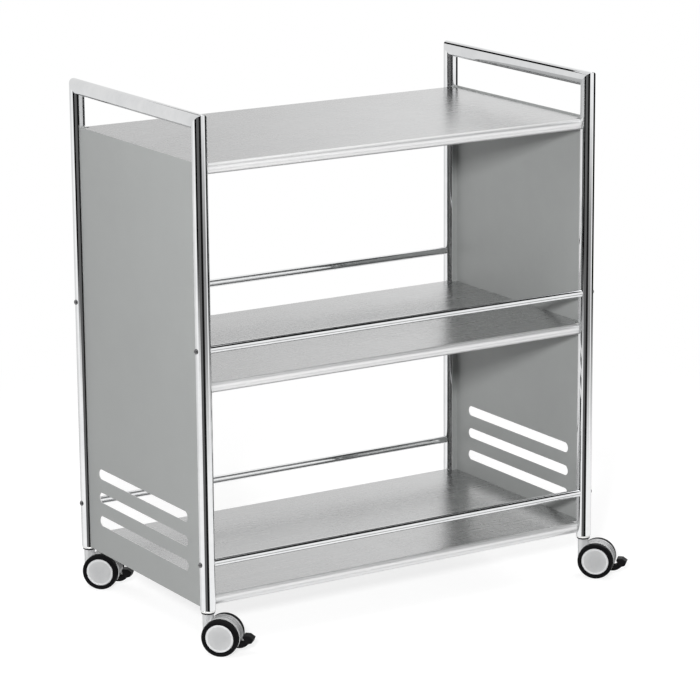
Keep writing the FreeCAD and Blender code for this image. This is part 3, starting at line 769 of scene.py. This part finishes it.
def makePlugs():
    p = plug
    profile = roundedCorners([(p["bore"], p["base"], 0.0002), (p["flange"], p["base"], 0.0011),
                              (p["flange"], p["shoulder"], 0.0002), (p["insert"], p["shoulder"], 0.0),
                              (p["insert"], p["top"], 0.0006), (p["bore"], p["top"], 0.0004)])
    shells = []
    for corner in cornerNames:
        post = boxMiddle(corner + "_upright")
        shells.append(moved(lathe(profile, p["segments"], True), Matrix.Translation((post.x, post.y, 0))))
    makePiece("tubePlugs", joined(shells), "frame", small["plugPale"], ("tube_plugs",))


makePlugs()
print("plugs: 4")


# dark gap rings: a black ring round each stem's collar, between the caster's neck and the plug, painted shade for the
# dark gap there
darkGapRing = dict(inner=0.0077, outer=0.0102, foot=0.0599, top=0.0617, corner=0.0005, segments=64)


def makeDarkGapRing(corner):
    s = darkGapRing
    ring = roundedCorners([(s["inner"], s["foot"], s["corner"]), (s["outer"], s["foot"], s["corner"]),
                           (s["outer"], s["top"], s["corner"]), (s["inner"], s["top"], s["corner"])])
    post = boxMiddle(corner + "_upright")
    shell = moved(lathe(ring, s["segments"], True), Matrix.Translation((post.x, post.y, 0)))
    makePiece(pieceTitle(corner) + "DarkGapRing", shell, corner + "_caster", small["tyreRubber"])


for corner in cornerNames:
    makeDarkGapRing(corner)
print("dark gap rings: 4")


# casters: wheels turned about their axle, hoods and levers rounded copies of the CAD
caster = dict(heading=-45.0, trail=0.022, wheelRadius=0.028, wheelIn=0.010, wheelOut=0.0215, rimRadius=0.0215,
              shoulder=0.0032, stepWidth=0.0016, stepDepth=0.0004, capRadius=0.021, ringWidth=0.0026,
              capFace=0.0209, capBack=0.01915, recess=0.0005, ringSlope=0.0004, ringCrest=0.0008,
              hoodEdge=0.0008, leverEdge=0.0006, tyreSegments=144, capSegments=96)


def axleMatrix(corner, hand):  # from a shape turned about Z to the wheel on either side of the hood
    post = boxMiddle(corner + "_upright")
    heading = Matrix.Rotation(math.radians(caster["heading"]), 4, "Z")
    axle = Matrix.Translation((caster["trail"], 0, caster["wheelRadius"]))
    return Matrix.Translation((post.x, post.y, 0)) @ heading @ axle @ Matrix.Rotation(-hand * math.pi / 2, 4, "X")


def tyreProfile():  # round shoulders, and beside the rim a shallow moulded step
    c = caster
    return roundedCorners([(c["rimRadius"], c["wheelIn"], 0.0003), (c["wheelRadius"], c["wheelIn"], c["shoulder"]),
                           (c["wheelRadius"], c["wheelOut"], c["shoulder"]),
                           (c["rimRadius"] + c["stepWidth"], c["wheelOut"], 0.0003),
                           (c["rimRadius"] + c["stepWidth"] - c["stepDepth"], c["wheelOut"] - c["stepDepth"], 0.0001),
                           (c["rimRadius"], c["wheelOut"] - c["stepDepth"], 0.0002)], steps=9)


def ringProfile():  # the raised edge of the cap, in a lighter copy of the cap's silver: a painted highlight round the cap
    c = caster
    inner, face, crest = c["capRadius"] - c["ringWidth"], c["capFace"], c["ringCrest"]
    foot = inner - c["ringSlope"]
    return roundedCorners([(foot, c["capBack"], 0.0), (c["capRadius"], c["capBack"], 0.0002),
                           (c["capRadius"], face - 0.0003, 0.0003), (c["capRadius"] - crest, face, 0.0005),
                           (inner + crest, face, 0.0005), (inner, face - c["recess"], 0.0002),
                           (foot, face - c["recess"], 0.0)], steps=6)


def discProfile():  # the flat middle of the cap, from pole to pole
    c = caster
    r, face = c["capRadius"] - c["ringWidth"] - c["ringSlope"], c["capFace"] - c["recess"]
    return [(0, c["capBack"]), (r, c["capBack"]), (r, face), (r * 0.5, face), (0, face)]


def makeWheel(corner, side, hand):
    stem, title = corner + "_" + side, pieceTitle(corner) + side.capitalize()
    body, place = stem + "_wheel", axleMatrix(corner, hand)
    tyre = lathe(tyreProfile(), caster["tyreSegments"], True)
    disc = lathe(discProfile(), caster["capSegments"])
    ring = lathe(ringProfile(), caster["capSegments"], True)
    makePiece(title + "Tyre", moved(tyre, place), body, small["tyreRubber"], (stem + "_tyre",))
    makePiece(title + "Cap", moved(disc, place), body, small["capSilver"], (stem + "_cap",))
    makePiece(title + "CapRing", moved(ring, place), body, small["capRingHighlight"])


# two dark beads round the hood's crown, painted shade for its fine grooves, from behind the neck to above the lever's
# window; turns in degrees
bead = dict(inner=0.0282, outer=0.0287, offset=0.0034, width=0.0011, fromTurn=4.0, toTurn=114.0, steps=56)


def makeBeads(corner):
    # each a small rectangle (radius, offset along the axle) swept round the axle, closed at both ends
    b = bead
    turn = -np.radians(np.linspace(b["fromTurn"], b["toTurn"], b["steps"]))[:, None]
    shells = []
    for hand in (-1, 1):
        near, far = hand * b["offset"] - b["width"] / 2, hand * b["offset"] + b["width"] / 2
        radius = np.array([b["inner"], b["outer"], b["outer"], b["inner"]])
        along = np.array([near, near, far, far]) + 0 * turn
        points = np.stack([radius * np.cos(turn), radius * np.sin(turn), along], -1).reshape(-1, 3)
        last = 4 * (b["steps"] - 1)
        ends = np.array([[3, 2, 1, 0], [last, last + 1, last + 2, last + 3]])
        faces = np.concatenate([gridFaces(b["steps"], 4, False, True), ends])
        shells.append(moved((points, facingOut(points - points.mean(0), faces)), axleMatrix(corner, 1)))
    # the beads take the dark screw steel, so they show as dark lines: painted shade of the crown's grooves
    makePiece(pieceTitle(corner) + "HoodShadeBeads", joined(shells), corner + "_caster",
              small["screwSteel"])


def makeCaster(corner):
    title, hoodNode, leverNode = pieceTitle(corner), corner + "_hood", corner + "_brake_lever"
    hood = makePiece(title + "Hood", nodeShell(hoodNode), corner + "_caster", small["hoodSilver"],
                     (hoodNode,), sharpAt=30)
    bevelled(hood, caster["hoodEdge"], segments=4, angle=40)
    makeBeads(corner)
    lever = makePiece(title + "Lever", nodeShell(leverNode), corner + "_lever", small["leverNylon"],
                      (leverNode,), sharpAt=30)
    bevelled(lever, caster["leverEdge"], segments=3, angle=35)
    for side, hand in sideNames.items():
        makeWheel(corner, side, hand)


for corner in cornerNames:
    makeCaster(corner)
print("casters: 4")


# CAD nodes that stay as they are get their finish
def finishNode(node, material):
    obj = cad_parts[node]
    for slot in obj.material_slots:
        slot.material = material


for node in ("panel_screws", "shelf_nuts", "caster_stems"):
    finishNode(node, small["pinSteel"])
for corner in cornerNames:
    finishNode(corner + "_axle", small["pinSteel"])
    finishNode(corner + "_lever_pin", small["pinSteel"])
    for side in sideNames:
        finishNode(corner + "_" + side + "_rim", small["rimGrey"])
print("small parts finished")


# floor: white to the camera, with the trolley's shadow kept near it; metal mirrors the world's lower half instead
floorDisc = dict(radii=(0.0, 1.0, 2.0, 4.0), sink=0.0002, segments=128, fadeFrom=0.75, fadeTo=1.5, lift=0.74,
                 tone=0.62, seenTone=0.34)


def makeFloor():
    f = floorDisc
    turn = np.linspace(0, 2 * np.pi, f["segments"], endpoint=False)
    radii = np.array(f["radii"])[:, None]
    points = np.stack([radii * np.cos(turn), radii * np.sin(turn), 0 * radii * turn - f["sink"]], -1).reshape(-1, 3)
    mesh = sewnMesh("floor", points, gridFaces(len(radii), f["segments"], False, True))
    normalsOut(mesh, Vector((0, 0, 1)))
    floor = newObject("floor", mesh)
    material = bpy.data.materials.new("paleFloor")
    tree = emptyTree(material)
    matt, seenMatt = addNode(tree, "ShaderNodeBsdfDiffuse"), addNode(tree, "ShaderNodeBsdfDiffuse")
    for node, tone in ((matt, f["tone"]), (seenMatt, f["seenTone"])):
        node.inputs["Color"].default_value = (tone, tone, tone, 1)
    lift = addNode(tree, "ShaderNodeEmission", Strength=f["lift"])
    white = addNode(tree, "ShaderNodeEmission", Strength=1.0)
    clear = addNode(tree, "ShaderNodeBsdfTransparent")
    place = addNode(tree, "ShaderNodeTexCoord")
    distance = addNode(tree, "ShaderNodeVectorMath", operation="LENGTH")
    tree.links.new(place.outputs["Object"], distance.inputs[0])
    fade = mapRange(tree, distance.outputs["Value"], From_Min=f["fadeFrom"], From_Max=f["fadeTo"],
                    interpolation_type="SMOOTHSTEP")
    path = addNode(tree, "ShaderNodeLightPath")
    seen = mathNode(tree, "MAXIMUM", path.outputs["Is Camera Ray"], path.outputs["Is Transmission Ray"])
    lifted = addNode(tree, "ShaderNodeAddShader")
    tree.links.new(seenMatt.outputs[0], lifted.inputs[0])
    tree.links.new(lift.outputs[0], lifted.inputs[1])
    near = mixShaders(tree, fade, lifted.outputs[0], white.outputs[0])
    above = mixShaders(tree, seen, matt.outputs[0], near)
    under = addNode(tree, "ShaderNodeNewGeometry")
    whole = mixShaders(tree, under.outputs["Backfacing"], above, clear.outputs[0])
    tree.links.new(whole, addNode(tree, "ShaderNodeOutputMaterial").inputs["Surface"])
    mesh.materials.append(material)
    floor.visible_glossy = False


makeFloor()


# camera where the photograph was taken: place in metres, angles in degrees
photoCamera = dict(place=(-2.53739, -4.09541, 1.56781), yaw=31.75, pitch=-13.93, roll=-0.43, lens=165.44,
                   sensor=36.0, clip=(0.05, 60.0))


def makeCamera():
    c = photoCamera
    yaw, pitch, roll = (math.radians(c[key]) for key in ("yaw", "pitch", "roll"))
    forward = Vector((math.sin(yaw) * math.cos(pitch), math.cos(yaw) * math.cos(pitch), math.sin(pitch)))
    right = Vector((math.cos(yaw), -math.sin(yaw), 0))
    up = right.cross(forward)
    across = right * math.cos(roll) + up * math.sin(roll)
    upright = up * math.cos(roll) - right * math.sin(roll)
    data = bpy.data.cameras.new("photoCamera")
    data.lens = c["lens"]
    data.sensor_width = c["sensor"]
    data.clip_start, data.clip_end = c["clip"]
    camera = newObject("photoCamera", data)
    turn = Matrix((across, upright, -forward)).transposed().to_4x4()
    camera.matrix_world = Matrix.Translation(c["place"]) @ turn
    bpy.context.scene.camera = camera


makeCamera()


# studio: a pale world and soft boxes; reflections see white with soft dark cards standing round the trolley
# name, place, size in metres, watts, and whether metal mirrors it
studio = dict(ambient=0.18, target=(0.0, 0.0, 0.42),
              boxes=[("keyBox", (-2.40, -3.20, 1.75), 0.36, 165.0, False),
                     ("topBox", (-0.4, -0.6, 3.0), 2.6, 18.0, True),
                     ("leftBox", (-1.15, -0.35, 1.75), 0.6, 6.0, False),
                     ("fillBox", (2.4, -3.0, 1.9), 1.6, 8.0, False),
                     ("rightBox", (3.0, 0.8, 1.8), 1.4, 52.0, False),
                     ("backBox", (-0.8, 3.4, 1.8), 1.6, 34.0, False)])
# name, from, to, low, high in degrees about the trolley (0 towards the photograph's camera, growing to its right),
# softness in degrees and shade
cards = [("cardLeft", -64, -34, -13.5, 33, 3, 0.0), ("cardMiddle", -34, -4, -42, 33, 3, 0.13),
         ("cardRight", -4, 31, -42, 33, 3, 0.01), ("cardLow", 31, 74, -15, -10.5, 3, 0.30),
         ("cardStrip", 56, 78, -31, -20, 4, 0.20), ("cardFar", 92, 150, -14.5, 33, 4, 0.0),
         ("cardOver", 60, 132, 32, 62, 4, 0.01), ("roomLeft", -180, -100, -50, 50, 12, 0.80),
         ("underRight", 150, 186, -40, -13, 4, 0.20), ("underLeft", -186, -150, -40, -13, 4, 0.20)]
# a dark board above and behind, which the handle bars mirror as a thin line: x and y from and to, and height
darkBoard = dict(x=(0.08, 0.50), y=(0.80, 1.45), z=1.50, shade=0.0)


def makeSoftBox(name, place, size, watts, mirrored):
    data = bpy.data.lights.new(name, "AREA")
    data.shape = "SQUARE"
    data.size = size
    data.energy = watts
    light = newObject(name, data)
    light.location = place
    light.rotation_mode = "QUATERNION"
    light.rotation_quaternion = (Vector(place) - Vector(studio["target"])).to_track_quat("Z", "Y")
    light.visible_glossy = mirrored


def makeBoard():
    b = darkBoard
    points = [(x, y, b["z"]) for x in b["x"] for y in b["y"]]
    mesh = bpy.data.meshes.new("darkBoard")
    mesh.from_pydata(points, [], [(0, 1, 3, 2)])
    material = bpy.data.materials.new("darkBoard")
    tree = emptyTree(material)
    glow = addNode(tree, "ShaderNodeEmission", Strength=b["shade"])
    tree.links.new(glow.outputs[0], addNode(tree, "ShaderNodeOutputMaterial").inputs["Surface"])
    mesh.materials.append(material)
    board = newObject("darkBoard", mesh)
    board.visible_camera = board.visible_diffuse = board.visible_shadow = False
    board.visible_transmission = board.visible_volume_scatter = False


def cardWindow(tree, value, low, high, soft):
    # 1 between low and high, falling smoothly to 0 over the softness at each end
    sides = [mapRange(tree, value, From_Min=math.radians(edge - half), From_Max=math.radians(edge + half),
                      interpolation_type="SMOOTHSTEP") for edge, half in ((low, soft / 2), (high, -soft / 2))]
    return mathNode(tree, "MULTIPLY", *sides)


def cardShades(tree):  # each card's window over turn and rise darkens the white room to its shade
    yaw = math.radians(photoCamera["yaw"])
    place = addNode(tree, "ShaderNodeTexCoord")
    parts = []
    for axis in ((math.cos(yaw), -math.sin(yaw), 0), (-math.sin(yaw), -math.cos(yaw), 0), (0, 0, 1)):
        part = addNode(tree, "ShaderNodeVectorMath", operation="DOT_PRODUCT")
        tree.links.new(place.outputs["Generated"], part.inputs[0])
        part.inputs[1].default_value = axis
        parts.append(part.outputs["Value"])
    turn = mathNode(tree, "ARCTAN2", parts[0], parts[1])
    rise = mathNode(tree, "ARCSINE", parts[2])
    bright = 1.0
    for name, fromTurn, toTurn, low, high, soft, shade in cards:
        mask = mathNode(tree, "MULTIPLY", cardWindow(tree, turn, fromTurn, toTurn, soft),
                        cardWindow(tree, rise, low, high, soft))
        mask = between(tree, mask, 1.0, shade)
        bright = mathNode(tree, "MULTIPLY", mask, bright)
        print("card:", name)
    return bright


def makeWorld():
    # plain grey light on the object, plain white to the camera and glass, white with cards to reflections
    world = bpy.data.worlds.new("paleRoom")
    bpy.context.scene.world = world
    tree = emptyTree(world)
    ambient = addNode(tree, "ShaderNodeBackground", Strength=studio["ambient"])
    white = addNode(tree, "ShaderNodeBackground", Strength=1.0)
    mirrored = addNode(tree, "ShaderNodeBackground")
    for node in (ambient, white, mirrored):
        node.inputs["Color"].default_value = (1, 1, 1, 1)
    tree.links.new(cardShades(tree), mirrored.inputs["Strength"])
    path = addNode(tree, "ShaderNodeLightPath")
    plain = mathNode(tree, "MAXIMUM", path.outputs["Is Camera Ray"], path.outputs["Is Transmission Ray"])
    mixed = mixShaders(tree, path.outputs["Is Glossy Ray"], ambient.outputs[0], mirrored.outputs[0])
    whole = mixShaders(tree, plain, mixed, white.outputs[0])
    tree.links.new(whole, addNode(tree, "ShaderNodeOutputWorld").inputs["Surface"])


makeWorld()
makeBoard()
for box in studio["boxes"]:
    makeSoftBox(*box)
bpy.context.scene.view_settings.view_transform = "Standard"
print("studio ready")
